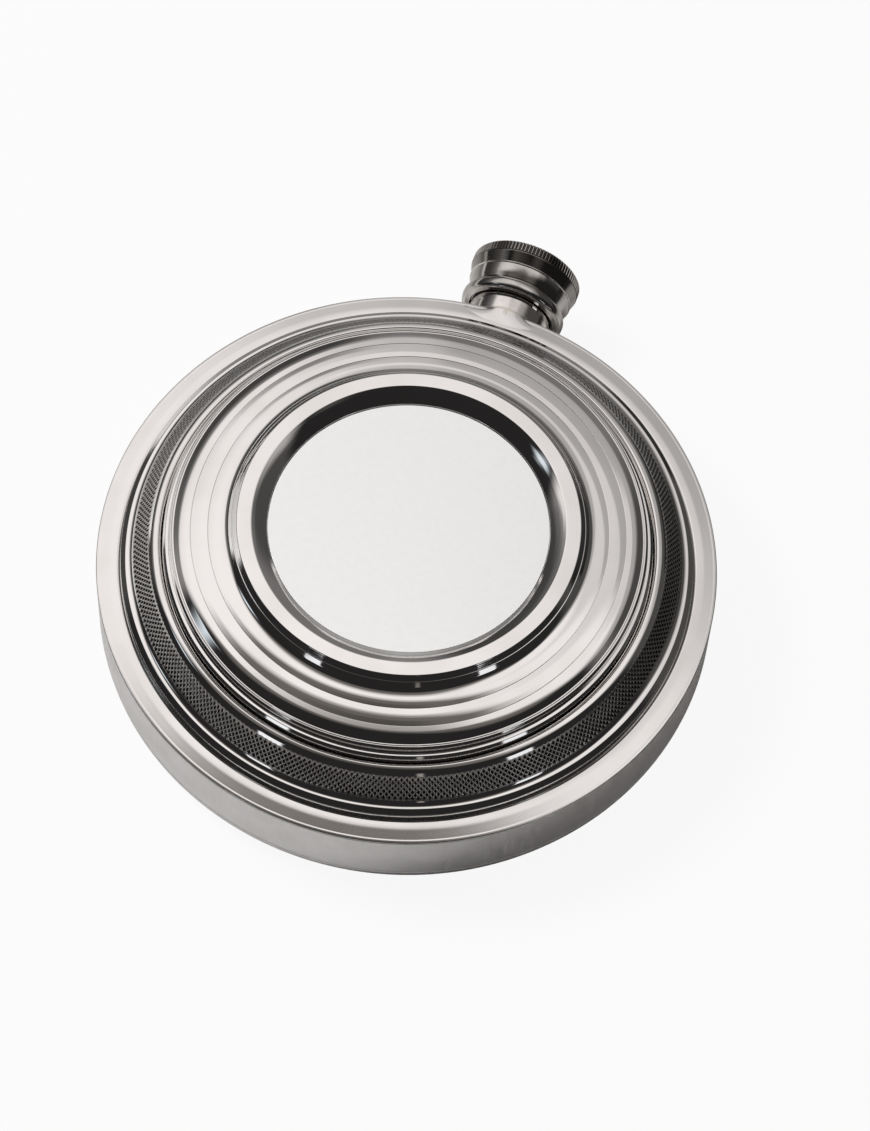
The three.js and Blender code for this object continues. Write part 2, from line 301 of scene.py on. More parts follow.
# %% World output
BACKDROP_WHITE = (1.0, 1.0, 1.0)
rays = add_node(sky, "ShaderNodeLightPath").outputs
seen = mix_colour(sky, rays["Is Camera Ray"], studio, BACKDROP_WHITE)
background = add_node(sky, "ShaderNodeBackground", {"Color": seen, "Strength": 1.0})
add_node(sky, "ShaderNodeOutputWorld", {"Surface": background.outputs[0]})
print("studio nodes:", len(sky.nodes))

# %% [markdown]
# ## Floor and lamp
#
# The floor is pale and matt. Seen straight from the camera it is lifted towards white, as in the
# photograph, and it still keeps a soft shadow. Mirrored in the metal its colour carries painted
# light and shade: a pale painted pool of light around the flask and to the left, and painted shade
# in front and on the right. A soft lamp from the left lights it; the lamp stays out of the mirror
# images, which the studio already gives.

# %% Floor finish
FLOOR_SIZE = 3.0
FLOOR_PALE = (0.74, 0.735, 0.73)
FLOOR_GREY = (0.27, 0.265, 0.26)
FLOOR_PAINTED_LIGHT_LEFT = (0.66, 0.655, 0.65)
FLOOR_PAINTED_SHADE = (0.04, 0.04, 0.04)
FLOOR_LIFT = 0.92
PALE_REACH = (62 * MM, 105 * MM)
FRONT_REACH = (70 * MM, 120 * MM)
RIGHT_REACH = (62 * MM, 95 * MM)
LEFT_REACH = (-70 * MM, -130 * MM)

floor_finish = bpy.data.materials.new("pale_floor")
floor_finish.use_nodes = True
tree = floor_finish.node_tree
tree.nodes.clear()
spot = add_node(tree, "ShaderNodeTexCoord").outputs["Object"]


def floor_distance(operation, direction=None):
    """Distance on the floor, along a direction or from the middle."""
    inputs = {0: spot} if direction is None else {0: spot, 1: direction}
    return add_node(tree, "ShaderNodeVectorMath", inputs, operation=operation).outputs["Value"]


rightward = floor_distance("DOT_PRODUCT", SKY_RIGHT)
far_out = remap(tree, floor_distance("LENGTH"), *PALE_REACH)
in_front = remap(tree, floor_distance("DOT_PRODUCT", SKY_NEAR), *FRONT_REACH)
to_right = remap(tree, rightward, *RIGHT_REACH)
to_left = remap(tree, rightward, *LEFT_REACH)
# painted light: the mirrored floor is paler near the flask and to the left
outer_floor = mix_colour(tree, to_left, FLOOR_GREY, FLOOR_PAINTED_LIGHT_LEFT)
painted_mirror_floor = mix_colour(tree, far_out, FLOOR_PALE, outer_floor)
# painted shade: the mirrored floor turns dim in front and on the right
painted_mirror_floor = mix_colour(tree, in_front, painted_mirror_floor, FLOOR_PAINTED_SHADE)
painted_mirror_floor = mix_colour(tree, to_right, painted_mirror_floor, FLOOR_PAINTED_SHADE)
camera_ray = add_node(tree, "ShaderNodeLightPath").outputs["Is Camera Ray"]
shown = mix_colour(tree, camera_ray, painted_mirror_floor, FLOOR_PALE)
matt = add_node(tree, "ShaderNodeBsdfDiffuse", {"Color": shown})
glow = {"Color": (*BACKDROP_WHITE, 1.0), "Strength": 1.0}
white = add_node(tree, "ShaderNodeEmission", glow)
lift = calc(tree, "MULTIPLY", camera_ray, FLOOR_LIFT)
lifted = add_node(tree, "ShaderNodeMixShader", {0: lift, 1: matt.outputs[0], 2: white.outputs[0]})
add_node(tree, "ShaderNodeOutputMaterial", {"Surface": lifted.outputs[0]})
print("floor finish nodes:", len(tree.nodes))

# %% Floor
bm = bmesh.new()
bmesh.ops.create_grid(bm, x_segments=1, y_segments=1, size=FLOOR_SIZE)
floor_mesh = bpy.data.meshes.new("floor")
bm.to_mesh(floor_mesh)
bm.free()
floor = bpy.data.objects.new("floor", floor_mesh)
floor_mesh.materials.append(floor_finish)
bpy.context.scene.collection.objects.link(floor)
print("floor of", FLOOR_SIZE * 2, "m")

# %% Lamp
LAMP_SIZE = 0.45
LAMP_DISTANCE = 1.3
LAMP_POWER = 12.0
LAMP_AZIMUTH = math.radians(-94)
LAMP_ELEVATION = math.radians(48)

lamp_data = bpy.data.lights.new("soft_lamp", "AREA")
lamp_data.size = LAMP_SIZE
lamp_data.energy = LAMP_POWER
lamp = bpy.data.objects.new("soft_lamp", lamp_data)
bpy.context.scene.collection.objects.link(lamp)
lamp_direction = toward(LAMP_AZIMUTH, LAMP_ELEVATION)
lamp.location = lamp_direction * LAMP_DISTANCE
lamp.rotation_euler = (-lamp_direction).to_track_quat("-Z", "Y").to_euler()
lamp.visible_glossy = False
print("lamp at", [round(part, 2) for part in lamp.location], "m")

# %% [markdown]
# ## Finishes
#
# Pewter is a soft, slightly warm grey metal. All its finishes share one recipe: a metallic shader,
# a little unevenness in colour and gloss, and very fine marks from turning, brushing or filing as
# bump. What changes is how rough it is and which way the marks run.

# %% Pewter recipe
PEWTER = (0.90, 0.885, 0.875)
PEWTER_DULL = (0.84, 0.825, 0.81)
CLOUD_EDGE = (0.35, 0.70)


def new_finish(name, metallic=1.0):
    """A node material with its shader, and the object's own coordinates split into x, y and z."""
    material = bpy.data.materials.new(name)
    material.use_nodes = True
    tree = material.node_tree
    shader = tree.nodes["Principled BSDF"]
    shader.inputs["Metallic"].default_value = metallic
    place = add_node(tree, "ShaderNodeTexCoord").outputs["Object"]
    parts = add_node(tree, "ShaderNodeSeparateXYZ", {0: place}).outputs
    return material, tree, shader, place, parts


def noise(tree, inputs, dimensions="3D", detail=2.0):
    """Soft noise between 0 and 1."""
    inputs = dict(inputs, Detail=detail)
    return add_node(tree, "ShaderNodeTexNoise", inputs, noise_dimensions=dimensions).outputs["Fac"]


def radius_from(tree, across, along_axis):
    """Distance from an axis, from two coordinates measured square to it."""
    squares = [calc(tree, "MULTIPLY", part, part) for part in (across, along_axis)]
    return calc(tree, "SQRT", calc(tree, "ADD", *squares))


def add_bump(tree, shader, height, strength, distance):
    """Fine surface marks as bump."""
    inputs = {"Height": height, "Strength": strength, "Distance": distance}
    bump = add_node(tree, "ShaderNodeBump", inputs)
    tree.links.new(bump.outputs[0], shader.inputs["Normal"])


def clouds(tree, place, scale):
    """Soft clouds, mostly near 0 or 1; scale is how many fit into a metre."""
    return remap(tree, noise(tree, {"Vector": place, "Scale": scale}), *CLOUD_EDGE)


def mottle(tree, shader, place, bright, dull, scale):
    """Uneven metal colour, between a bright and a duller tone."""
    cloud = clouds(tree, place, scale)
    tree.links.new(mix_colour(tree, cloud, bright, dull), shader.inputs["Base Color"])
    return cloud


print("pewter recipe ready")

# %% [markdown]
# ### Turned pewter of the front
#
# The front is spun on a lathe and polished on its rings. The outer rim is left satin. Its marks are
# rings, so they depend on the distance from the axis alone: noise in one dimension along that
# distance gives them.

# %% Finish of the stepped front
RIM_SATIN_FROM = 48.0 * MM
RIM_SATIN_FULL = 48.8 * MM
RIM_ROUGHNESS = 0.17
RING_ROUGHNESS = 0.05
GLOSS_UNEVEN = 0.03
FRONT_CLOUDS_PER_M = 90.0
GLOSS_PATCHES_PER_M = 240.0
TURNING_LINES_PER_M = 5200.0
TURNING_BUMP = (0.10, 0.02 * MM)


def turned_front_finish():
    material, tree, shader, place, parts = new_finish("turned_front_pewter")
    mottle(tree, shader, place, PEWTER, PEWTER_DULL, FRONT_CLOUDS_PER_M)
    radius = radius_from(tree, parts["X"], parts["Y"])
    gloss = remap(tree, radius, RIM_SATIN_FROM, RIM_SATIN_FULL, RING_ROUGHNESS, RIM_ROUGHNESS)
    patches = noise(tree, {"Vector": place, "Scale": GLOSS_PATCHES_PER_M})
    uneven = calc(tree, "MULTIPLY_ADD", patches, GLOSS_UNEVEN, -GLOSS_UNEVEN / 2)
    tree.links.new(calc(tree, "ADD", gloss, uneven), shader.inputs["Roughness"])
    rings = noise(tree, {"W": radius, "Scale": TURNING_LINES_PER_M}, "1D")
    add_bump(tree, shader, rings, *TURNING_BUMP)
    return material


front_finish = turned_front_finish()
print("made", front_finish.name)

# %% [markdown]
# The pits of the knurled band are dark, partly old polish gone dark where no cloth reaches and
# partly painted shade of the deep pits; only its ridges are rubbed bright. A value stored in the
# mesh says how deep each point lies.

# %% Finish of the knurl
KNURL_ROUGHNESS = 0.20
KNURL_RUBBED = (0.70, 0.68, 0.66)
PIT_ATTRIBUTE = "knurl_pit"
PIT_EDGE = (0.15, 0.55)
PIT_PATINA_AND_SHADE = (0.03, 0.028, 0.027)
PATCH_EDGE = (0.3, 0.7)
KNURL_UNEVEN = 0.08


def knurled_finish():
    material, tree, shader, place, _ = new_finish("knurled_pewter")
    pit = add_node(tree, "ShaderNodeAttribute", attribute_name=PIT_ATTRIBUTE).outputs["Fac"]
    # patina and painted shade in the pits, by their depth
    tarnish_and_shade = remap(tree, pit, *PIT_EDGE)
    metal = mix_colour(tree, tarnish_and_shade, KNURL_RUBBED, PIT_PATINA_AND_SHADE)
    tree.links.new(metal, shader.inputs["Base Color"])
    patches = noise(tree, {"Vector": place, "Scale": GLOSS_PATCHES_PER_M})
    rougher = KNURL_ROUGHNESS + KNURL_UNEVEN
    gloss = remap(tree, patches, *PATCH_EDGE, KNURL_ROUGHNESS, rougher)
    tree.links.new(gloss, shader.inputs["Roughness"])
    return material


knurl_finish = knurled_finish()
print("made", knurl_finish.name)

# %% [markdown]
# ### Satin side band and back
#
# The band is finished by drawing it past an abrasive belt, which leaves short streaks that run
# across it, from the back to the front. Stretching noise along Z and squeezing it around the
# circumference gives such streaks.

# %% Finish of the band and the back
BAND_ROUGHNESS = 0.34
STREAKS_PER_M = 1500.0
STREAK_STRETCH = 0.12
GRAIN_PER_M = 1900.0
GRAIN_SHARE = 1.2
MARK_DETAIL = 3.0
STREAK_EDGE = (0.25, 0.75)
STREAK_GLOSS = (BAND_ROUGHNESS - 0.06, BAND_ROUGHNESS + 0.08)
SATIN_CLOUDS_PER_M = 140.0
SATIN_BUMP = (0.85, 0.05 * MM)


def satin_finish(name, stretch):
    """Satin pewter whose streaks run along the axis with the small stretch."""
    material, tree, shader, place, _ = new_finish(name)
    mottle(tree, shader, place, PEWTER, PEWTER_DULL, SATIN_CLOUDS_PER_M)
    mapping = add_node(tree, "ShaderNodeMapping", {"Vector": place, "Scale": stretch})
    stretched = {"Vector": mapping.outputs[0], "Scale": STREAKS_PER_M}
    streaks = noise(tree, stretched, detail=MARK_DETAIL)
    gloss = remap(tree, streaks, *STREAK_EDGE, *STREAK_GLOSS)
    tree.links.new(gloss, shader.inputs["Roughness"])
    grain = noise(tree, {"Vector": place, "Scale": GRAIN_PER_M}, detail=MARK_DETAIL)
    marks = calc(tree, "ADD", streaks, calc(tree, "MULTIPLY", grain, GRAIN_SHARE))
    add_bump(tree, shader, marks, *SATIN_BUMP)
    return material


band_finish = satin_finish("streaked_band_pewter", (1.0, 1.0, STREAK_STRETCH))
back_finish = satin_finish("satin_back_pewter", (1.0, STREAK_STRETCH, 1.0))
print("made", band_finish.name, "and", back_finish.name)

# %% [markdown]
# ### Polished neck and cap
#
# Neck and cap are turned and polished like the front, but about the neck's axis. The cap is darker
# in two broad stretches, and painted shade darkens its groove, the strip under the raised line and
# the valleys between the teeth. Painting such places one by one would not survive a change of
# shape, so the darkening is laid on by place: in stretches along the axis, and in the teeth below a
# certain radius.

# %% Finish of the neck and the cap
neck_low, neck_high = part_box("neck_collar")
NECK_HEIGHT = (neck_low.z + neck_high.z) / 2 / MM
CAP_ROUGHNESS = 0.08
CAP_UNEVEN = 0.08
SLEEVE_ROUGHNESS = 0.3
CAP_CLOUDS_PER_M = 320.0
CAP_BUMP = (0.12, 0.02 * MM)
CAP_BRIGHT = (0.84, 0.815, 0.79)
CAP_DULL = (0.68, 0.655, 0.63)
CAP_DARKENING_AND_SHADE = (0.22, 0.205, 0.19)
TOOTH_VALLEY_SHADE = (0.05, 0.046, 0.042)
DARKENING_SOFT = 0.12 * MM
# the narrow stretches at the groove and under the raised line are painted shade
# start and end along the neck in mm, and how dark
CAP_DARKER_STRETCHES = (
    (58.50, 58.85, 0.75), (56.2, 61.2, 0.35), (61.25, 61.35, 0.6), (61.65, 65.5, 0.75),
)
TOOTH_ZONE = (63.75, 65.5)
TOOTH_FOOT = (9.68 * MM, 9.84 * MM)
VALLEY_DARKNESS = 0.9


def past(tree, place, edge, before=0.0, after=1.0):
    """Goes from before to after where place passes an edge, given in mm."""
    return remap(tree, place, edge * MM - DARKENING_SOFT, edge * MM + DARKENING_SOFT, before, after)


def cap_finish_of(name, roughness, darker_stretches=()):
    """Polished pewter with turning lines; darker_stretches lists stretches of the axis that are
    darkened, the groove and the crease with painted shade.
    """
    material, tree, shader, place, parts = new_finish(name)
    cloud = clouds(tree, place, CAP_CLOUDS_PER_M)
    metal = mix_colour(tree, cloud, CAP_BRIGHT, CAP_DULL)
    for low, high, dark in darker_stretches:
        begin = past(tree, parts["Y"], low)
        end = past(tree, parts["Y"], high, dark, 0.0)
        # darker stretches, with painted shade in the groove and under the raised line
        metal = mix_colour(tree, calc(tree, "MULTIPLY", begin, end), metal, CAP_DARKENING_AND_SHADE)
    if darker_stretches:
        height = calc(tree, "SUBTRACT", parts["Z"], NECK_HEIGHT * MM)
        radius = radius_from(tree, parts["X"], height)
        # painted shade in the valleys between the teeth
        valley = remap(tree, radius, *TOOTH_FOOT, VALLEY_DARKNESS, 0.0)
        valley = calc(tree, "MULTIPLY", valley, past(tree, parts["Y"], TOOTH_ZONE[0]))
        valley = calc(tree, "MULTIPLY", valley, past(tree, parts["Y"], TOOTH_ZONE[1], 1.0, 0.0))
        metal = mix_colour(tree, valley, metal, TOOTH_VALLEY_SHADE)
    tree.links.new(metal, shader.inputs["Base Color"])
    gloss = remap(tree, cloud, 0.0, 1.0, roughness, roughness + CAP_UNEVEN)
    tree.links.new(gloss, shader.inputs["Roughness"])
    lines = noise(tree, {"W": parts["Y"], "Scale": TURNING_LINES_PER_M}, "1D")
    add_bump(tree, shader, lines, *CAP_BUMP)
    return material


cap_finish = cap_finish_of("polished_cap_pewter", CAP_ROUGHNESS, CAP_DARKER_STRETCHES)
neck_finish = cap_finish_of("polished_neck_pewter", CAP_ROUGHNESS)
sleeve_finish = cap_finish_of("turned_sleeve_pewter", SLEEVE_ROUGHNESS)
print("made", cap_finish.name, neck_finish.name, "and", sleeve_finish.name)

# %% [markdown]
# ### Solder, disc and seal
#
# Solder is filed, not polished, and creamier than pewter where it meets the neck; a value in the
# saddle's mesh says where. The plate in the centre is pale and partly matt, which keeps it bright
# from every side, and the seal in the cap is dull dark rubber. All are clouds and fine grain.

# %% Finish of the solder, the disc and the seal
SOLDER_BRIGHT = (0.82, 0.79, 0.75)
SOLDER_DULL = (0.70, 0.67, 0.62)
SOLDER_CREAM = (0.90, 0.86, 0.80)
LIP_ATTRIBUTE = "solder_lip"
LIP_WIDTH = 0.7
DISC_PALE = (0.955, 0.965, 0.96)
DISC_SHADE = (0.94, 0.95, 0.945)
SEAL_DARK = (0.045, 0.042, 0.038)
SEAL_WORN = (0.07, 0.066, 0.06)
DULL_ROUGHER = 1.1
GRAINS_PER_CLOUD = 8
GRAIN_DEPTH = 0.03 * MM
LIP_EDGE = (0.2, 0.7)
CREAM_ROUGHNESS = 0.45
SADDLE_CLOUDS_PER_M = 300.0
FILE_MARKS_PER_M = 1600.0
FILE_BUMP = (0.15, 0.02 * MM)


def matt_finish(name, bright, dull, roughness, metallic, scale, bump):
    """A finish of soft clouds and fine grain."""
    material, tree, shader, place, _ = new_finish(name, metallic)
    cloud = mottle(tree, shader, place, bright, dull, scale)
    gloss = remap(tree, cloud, 0.0, 1.0, roughness, roughness * DULL_ROUGHER)
    tree.links.new(gloss, shader.inputs["Roughness"])
    grain = noise(tree, {"Vector": place, "Scale": scale * GRAINS_PER_CLOUD})
    add_bump(tree, shader, grain, bump, GRAIN_DEPTH)
    return material


def filed_saddle_finish():
    """Satin pewter that turns to creamy solder at the lip."""
    material, tree, shader, place, _ = new_finish("filed_saddle_pewter")
    cloud = clouds(tree, place, SADDLE_CLOUDS_PER_M)
    metal = mix_colour(tree, cloud, PEWTER, PEWTER_DULL)
    lip = add_node(tree, "ShaderNodeAttribute", attribute_name=LIP_ATTRIBUTE).outputs["Fac"]
    cream = remap(tree, lip, *LIP_EDGE)
    tree.links.new(mix_colour(tree, cream, metal, SOLDER_CREAM), shader.inputs["Base Color"])
    gloss = remap(tree, cream, 0.0, 1.0, RIM_ROUGHNESS, CREAM_ROUGHNESS)
    tree.links.new(gloss, shader.inputs["Roughness"])
    marks = noise(tree, {"Vector": place, "Scale": FILE_MARKS_PER_M})
    add_bump(tree, shader, marks, *FILE_BUMP)
    return material


saddle_finish = filed_saddle_finish()
solder_finish = matt_finish(
    "filed_solder", SOLDER_BRIGHT, SOLDER_DULL,
    roughness=0.30, metallic=1.0, scale=400.0, bump=0.35,
)
disc_finish = matt_finish(
    "pale_disc_plate", DISC_PALE, DISC_SHADE,
    roughness=0.12, metallic=0.6, scale=900.0, bump=0.01,
)
seal_finish = matt_finish(
    "seal_rubber", SEAL_DARK, SEAL_WORN,
    roughness=0.75, metallic=0.0, scale=300.0, bump=0.3,
)
print("finishes:", [material.name for material in bpy.data.materials])

# %% [markdown]
# ## Turning a profile
#
# Every round piece starts as a wire: corner points in millimetres, as radius, height and how far
# the corner is rounded. A vertex bevel rounds each corner. The wire is spun over one sixteenth of a
# turn, and the sector is copied and turned four times, doubling each time, until the circle closes.
# Flat stretches between two roundings should stay flat in the light, so every face corner takes
# the normal of the largest faces that meet there.

# %% Profile helpers
FINE_ROUNDING = 0.13
FINE_SEGMENTS = 2
ARC_SEGMENTS = 5
DOUBLINGS = 4
SHARP_ANGLE = math.radians(38)
MERGE_DISTANCE = 0.0005 * MM
FLASK_AXIS = Vector((0, 0, 1))
NECK_AXIS = Vector((0, 1, 0))


def draw_profile(bm, corners, place, closed):
    """Join the corners into a wire in the plane that place() gives, and round them."""
    verts = [bm.verts.new(place(radius * MM, height * MM)) for radius, height, _ in corners]
    pairs = list(zip(verts, verts[1:]))
    if closed:
        pairs.append((verts[-1], verts[0]))
    for pair in pairs:
        bm.edges.new(pair)
    for vert, (_, _, rounding) in zip(verts, corners):
        if rounding:
            segments = FINE_SEGMENTS if rounding < FINE_ROUNDING else ARC_SEGMENTS
            bmesh.ops.bevel(
                bm, geom=[vert], offset=rounding * MM, offset_type="OFFSET", segments=segments,
                profile=0.5, affect="VERTICES", clamp_overlap=True, material=-1,
            )


def turn(bm, centre, axis, steps):
    """Spin the wire over a sector, then double the sector until it closes the circle."""
    sector = 2 * math.pi / 2 ** DOUBLINGS
    bmesh.ops.spin(
        bm, geom=bm.verts[:] + bm.edges[:], cent=centre, axis=axis, dvec=(0, 0, 0),
        angle=sector, steps=steps // 2 ** DOUBLINGS, use_merge=False,
    )
    for doubling in range(DOUBLINGS):
        copy = bmesh.ops.duplicate(bm, geom=bm.verts[:] + bm.edges[:] + bm.faces[:])["geom"]
        verts = [item for item in copy if isinstance(item, bmesh.types.BMVert)]
        further_round = Matrix.Rotation(sector * 2 ** doubling, 3, axis)
        bmesh.ops.rotate(bm, verts=verts, cent=centre, matrix=further_round)
    bmesh.ops.remove_doubles(bm, verts=bm.verts[:], dist=MERGE_DISTANCE)
    bmesh.ops.recalc_face_normals(bm, faces=bm.faces[:])


def corner_normals(bm):
    """One normal for each face corner, from the faces that no sharp edge parts from it."""
    weight = {face: (face.calc_area() / MM ** 2) ** 2 for face in bm.faces}
    limit = math.cos(SHARP_ANGLE)
    normals = []
    for face in bm.faces:
        for corner in face.loops:
            total = Vector()
            for other in corner.vert.link_faces:
                if other.normal.dot(face.normal) > limit:
                    total += other.normal * weight[other]
            normals.append(total.normalized())
    return normals


def finish_piece(bm, name, finish, node, body):
    """Make an object of the mesh that stands for a CAD node and moves with its body."""
    bm.normal_update()
    for face in bm.faces:
        face.smooth = True
    for edge in bm.edges:
        edge.smooth = len(edge.link_faces) != 2 or edge.calc_face_angle() < SHARP_ANGLE
    triangles = sum(len(face.verts) - 2 for face in bm.faces)
    normals = corner_normals(bm)
    mesh = bpy.data.meshes.new(name)
    bm.to_mesh(mesh)
    bm.free()
    mesh.normals_split_custom_set(normals)
    mesh.materials.append(finish)
    piece = bpy.data.objects.new(name, mesh)
    bpy.context.scene.collection.objects.link(piece)
    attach(piece, body)
    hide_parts(node)
    print(name, "stands for", node, "with", triangles, "triangles")


def on_flask(radius, height):
    """A profile point for a piece turned about the flask's axis."""
    return Vector((radius, 0, height))


print("each spin covers", 360 / 2 ** DOUBLINGS, "degrees")

# %% [markdown]
# ## The stepped front
#
# Seen from the rim inwards the front goes: a satin rim with a small lip, a riser with a sloping
# shoulder, a ledge that curves up into a cone with the knurled band, a roll that dips into a
# groove, a riser, a ledge, a riser with a double bead, a shoulder, a wide ledge that two fine lines
# cut into three crowned bands, a riser in two parts, the polished ring and the round slope down to
# the disc.
# Each stretch is a run towards the axis, a rise and the rounding of the corner that it ends in, so
# the list reads like a lathe plan.

# %% Profile of the front
FLASK_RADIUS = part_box("front_shell")[1].x / MM
RIM_HEIGHT = 17.0
RIM_UNDERSIDE = 16.75
RIM_ROUND = 0.16
RIM_UNDERSIDE_ROUND = 0.05

front_steps = {
    "rim lip": (0.42, 0.10, 0.05),
    "rim lip flat": (0.22, 0.01, 0.05),
    "rim slope": (2.16, 0.42, 0.7),
    "rim crest": (0.90, 0.0, 0.35),
    "rim foot": (0.45, -0.33, 0.12),
    "first riser": (0.05, 1.53, 0.06),
    "first riser shoulder": (0.85, 0.65, 0.10),
    "first ledge": (0.80, 0.07, 0.45),
    "knurl foot": (0.45, 0.50, 0.0),
    "knurl": (2.72, 3.29, 0.0),
    "roll side": (0.62, 0.60, 0.3),
    "roll shoulder": (0.50, 0.17, 0.25),
    "roll crest": (0.50, 0.10, 0.2),
    "roll back": (0.35, -0.30, 0.2),
    "groove": (0.43, -0.92, 0.1),
    "second riser": (0.05, 1.77, 0.05),
    "second riser shoulder": (0.42, 0.42, 0.07),
    "second ledge": (0.48, 0.05, 0.05),
    "third riser": (0.05, 1.20, 0.05),
    "third riser shoulder": (0.32, 0.36, 0.05),
    "bead": (0.16, 0.03, 0.05),
    "bead dip": (0.10, -0.10, 0.03),
    "second bead side": (0.10, 0.10, 0.04),
    "second bead": (0.16, -0.01, 0.05),
    "shoulder": (1.35, 0.75, 0.65),
    "outer band": (1.45, 0.23, 0.04),
    "line a in": (0.05, -0.05, 0.0),
    "line a out": (0.05, 0.07, 0.02),
    "middle band slope": (1.34, 0.36, 0.7),
    "middle band crown": (1.50, 0.14, 0.04),
    "line b in": (0.05, -0.05, 0.0),
    "line b out": (0.05, 0.07, 0.02),
    "inner band slope": (0.95, 0.25, 0.5),
    "inner band crown": (1.15, 0.11, 0.35),
    "inner band rise": (0.96, 0.23, 0.5),
    "ring riser": (0.82, 0.92, 0.06),
    "ring crease": (0.14, 0.02, 0.04),
    "ring upper riser": (0.74, 0.86, 0.12),
}
RING_WIDTH = 2.4
RECESS_RUN = 2.65
RECESS_DEPTH = 1.87
RECESS_STEP = 0.17
RECESS_LIP = 0.05
RING_ROUND = 0.12
RECESS_ROUND = ((0.90, 0.46, 0.42), (1.85, 1.08, 0.36))

front_corners = [
    (FLASK_RADIUS, RIM_UNDERSIDE, RIM_UNDERSIDE_ROUND),
    (FLASK_RADIUS, RIM_HEIGHT, RIM_ROUND),
]
front_places = {}
for name, (run, rise, rounding) in front_steps.items():
    radius, height, _ = front_corners[-1]
    front_corners.append((radius - run, height + rise, rounding))
    front_places[name] = (radius - run, height + rise)
ring_outer, ring_top, _ = front_corners[-1]
ring_inner = ring_outer - RING_WIDTH
disc_edge = ring_inner - RECESS_RUN
disc_top = ring_top - RECESS_DEPTH
print("ring outside", round(ring_outer, 2), "and top", round(ring_top, 2), "mm")
print("disc top", round(disc_top, 2), "mm")

# %% [markdown]
# The shell is closed: under the disc it has a floor, and inside it follows the steps roughly at the
# thickness of the sheet, ending in the lip that registers the front in the band. The cone gets a
# shallow seat, because the knurl is a ring of its own with many more columns than the smooth steps.

# %% Spin the front
SHEET = 1.4
POCKET_DEPTH = 1.1
SEAT_DEPTH = 0.5
LIP_OUTER = 50.9
LIP_INNER = 49.9
LIP_FOOT = 16.05
SPIN_STEPS = 384

pocket_floor = disc_top - POCKET_DEPTH
knurl_foot = front_places["knurl foot"]
knurl_top = front_places["knurl"]
cone = Vector((knurl_top[0] - knurl_foot[0], knurl_top[1] - knurl_foot[1])).normalized()
seat_foot = (knurl_foot[0] - cone.y * SEAT_DEPTH, knurl_foot[1] + cone.x * SEAT_DEPTH)
seat_top = (knurl_top[0] - cone.y * SEAT_DEPTH, knurl_top[1] + cone.x * SEAT_DEPTH)
above_knurl = list(front_steps).index("knurl") + 2
seat = [(*seat_foot, 0), (*seat_top, 0)]
outside = front_corners[:above_knurl] + seat + front_corners[above_knurl:]
groove = front_places["groove"]
ledge_end = front_places["second ledge"]
inside = [
    (LIP_OUTER, RIM_UNDERSIDE, 0),
    (LIP_OUTER, LIP_FOOT, 0),
    (LIP_INNER, LIP_FOOT, 0),
    (LIP_INNER, RIM_UNDERSIDE, 0),
    (knurl_foot[0] - SHEET, knurl_foot[1] - SHEET, 0),
    (knurl_top[0] - SHEET, knurl_top[1] - SHEET, 0),
    (groove[0] - SHEET, groove[1] - SHEET, 0),
    (ledge_end[0] - SHEET, ledge_end[1] - SHEET, 0),
    (ring_outer - SHEET, ring_top - 2 * SHEET, 0),
    (disc_edge + SHEET, ring_top - 2 * SHEET, 0),
    (disc_edge + SHEET, pocket_floor - SHEET, 0),
    (0, pocket_floor - SHEET, 0),
]
top_side = [
    (ring_inner, ring_top, RING_ROUND),
    *((ring_inner - run, ring_top - drop, rounding) for run, drop, rounding in RECESS_ROUND),
    (disc_edge + RECESS_LIP, disc_top + RECESS_STEP, RECESS_LIP),
    (disc_edge, disc_top, 0.0),
    (disc_edge, pocket_floor, 0.0),
    (0, pocket_floor, 0.0),
]
bm = bmesh.new()
draw_profile(bm, inside[::-1] + outside + top_side, on_flask, closed=False)
print("profile points:", len(bm.verts))
turn(bm, (0, 0, 0), FLASK_AXIS, SPIN_STEPS)
finish_piece(bm, "stepped_front", front_finish, "front_shell", "flask")

# %% [markdown]
# ## The knurled band
#
# The knurl is pressed into the cone by a toothed wheel. A ring that fills the seat is spun, with
# its upper side cut into rows. On this grid of rows and columns every second point, like the black
# fields of a chess board, is pushed in, and the points left standing are joined across the faces,
# so that the ridges between the pits run diagonally both ways.

# %% Spin the ring
KNURL_COLUMNS = 608
KNURL_ROWS = 8


def on_knurl(vert, slack=0.002):
    """True for a point between the knurl's foot and its top on the cone."""
    radius = math.hypot(vert.co.x, vert.co.y) / MM
    height = vert.co.z / MM
    share = (knurl_foot[0] - radius) / (knurl_foot[0] - knurl_top[0])
    on_line = knurl_foot[1] + share * (knurl_top[1] - knurl_foot[1])
    return -slack < share < 1 + slack and abs(height - on_line) < slack * 5


bm = bmesh.new()
ring_corners = [(*corner, 0) for corner in (knurl_foot, knurl_top, seat_top, seat_foot)]
draw_profile(bm, ring_corners, on_flask, closed=True)
knurl_edges = [edge for edge in bm.edges if all(on_knurl(vert) for vert in edge.verts)]
bmesh.ops.subdivide_edges(bm, edges=knurl_edges, cuts=KNURL_ROWS - 1)
turn(bm, (0, 0, 0), FLASK_AXIS, KNURL_COLUMNS)
print("ring points:", len(bm.verts))

# %% Press the knurl
KNURL_DEPTH = 0.17

